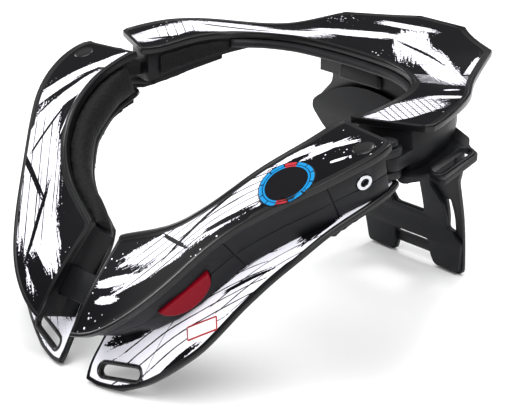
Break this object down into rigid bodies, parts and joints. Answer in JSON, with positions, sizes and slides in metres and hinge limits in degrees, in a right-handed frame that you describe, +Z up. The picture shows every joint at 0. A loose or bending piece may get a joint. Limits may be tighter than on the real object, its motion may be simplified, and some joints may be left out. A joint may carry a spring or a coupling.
{
  "type": "motocross neck brace",
  "caption": "Rigid neck brace collar in a rear half and hinged front arms, with chest plates, strap slots, inner pads, back support and a red release button.",
  "frame": {"origin": "middle of the footprint, on the surface the brace stands on", "axes": "+X towards the wearer's left, +Y towards the back support, +Z up; the split and chest tips point to -Y"},
  "size_m": [0.2758, 0.2942, 0.1525],
  "materials": {
    "printed_shell": "glossy black composite deck with a white brushed print",
    "dark_shell": "matte charcoal moulded plastic",
    "rib_mesh": "black ribbed mesh over soft foam",
    "soft_edge": "soft black moulded edge",
    "foam": "dark grey closed-cell foam",
    "steel": "bright metal ring",
    "red_plastic": "satin red plastic"
  },
  "bodies": {
    "collar": {"rear_deck": "printed_shell", "rear_core": "dark_shell", "collar_lip": "soft_edge", "back_plate": "dark_shell", "back_pad": "foam", "rear_pad_left": "rib_mesh", "rear_pad_right": "rib_mesh", "strap_plate_left": "dark_shell", "strap_plate_right": "dark_shell", "strap_foam_left": "foam", "strap_foam_right": "foam", "hinge_pin_left": "dark_shell", "hinge_pin_right": "dark_shell"},
    "left_arm": {"arm_deck_left": "printed_shell", "arm_core_left": "dark_shell", "arm_pad_left": "rib_mesh", "chest_plate_left": "printed_shell", "chest_foam_left": "foam", "side_eyelet_left": "steel"},
    "right_arm": {"arm_deck_right": "printed_shell", "arm_core_right": "dark_shell", "arm_pad_right": "rib_mesh", "chest_plate_right": "printed_shell", "chest_foam_right": "foam", "side_eyelet_right": "steel", "latch_tongue": "dark_shell"},
    "button": {"release_button": "red_plastic"}
  },
  "joints": [
    {"name": "left_hinge", "type": "hinge", "parent": "collar", "child": "left_arm", "pos_m": [0.118, -0.01722, 0.12728], "axis": [0, 0, 1], "range_deg": [0, 30]},
    {"name": "right_hinge", "type": "hinge", "parent": "collar", "child": "right_arm", "pos_m": [-0.118, -0.01722, 0.12728], "axis": [0, 0, -1], "range_deg": [0, 30]},
    {"name": "button_press", "type": "slide", "parent": "left_arm", "child": "button", "axis": [-0.816, 0.4582, 0.3524], "range_m": [0, 0.0015], "stiffness_N_per_m": 400}
  ]
}
